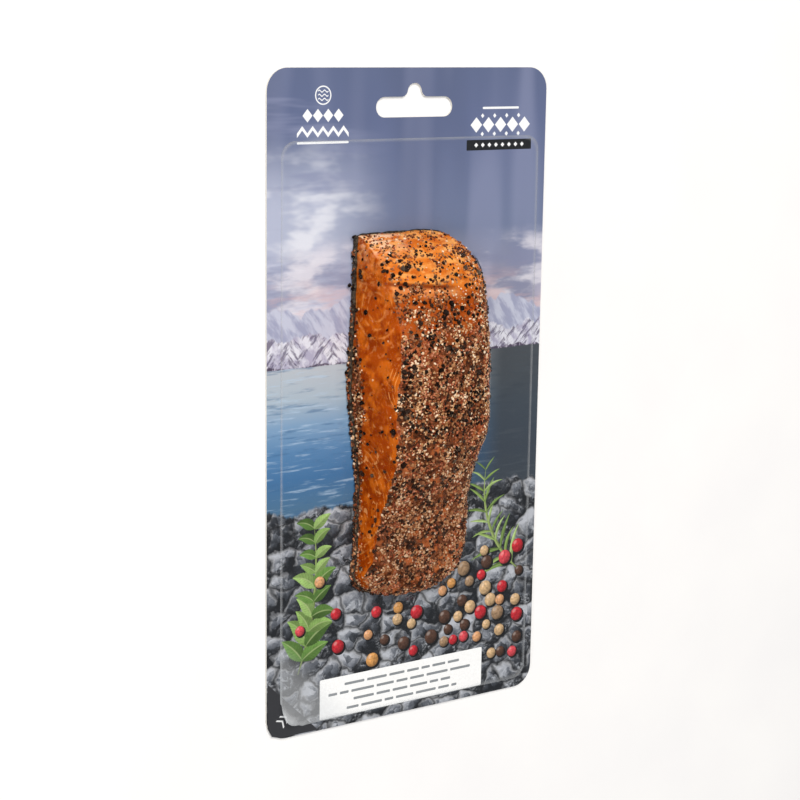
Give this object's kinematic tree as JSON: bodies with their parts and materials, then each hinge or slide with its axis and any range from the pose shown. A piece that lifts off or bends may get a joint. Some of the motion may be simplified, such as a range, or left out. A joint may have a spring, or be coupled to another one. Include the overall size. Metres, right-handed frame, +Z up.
{
  "type": "pack of smoked salmon",
  "caption": "Hang-card pack with a peppered smoked salmon portion lying skin down on a printed board under clear film drawn tight and sealed round it",
  "frame": {"origin": "The middle of the card's flat underside, under the middle of the whole pack.", "axes": "+X runs across the card to the right as the printed side is seen, +Y runs along the card towards the hang hole, and +Z points up out of the printed side. The pack lies on its back."},
  "size_m": [0.12, 0.24, 0.0307],
  "materials": {
    "card": "satin",
    "film": "gloss",
    "salmon_flesh": "satin",
    "salmon_skin": "satin"
  },
  "bodies": {
    "root": {"card": "card", "film": "film", "salmon_flesh": "salmon_flesh", "salmon_skin": "salmon_skin"}
  },
  "joints": []
}
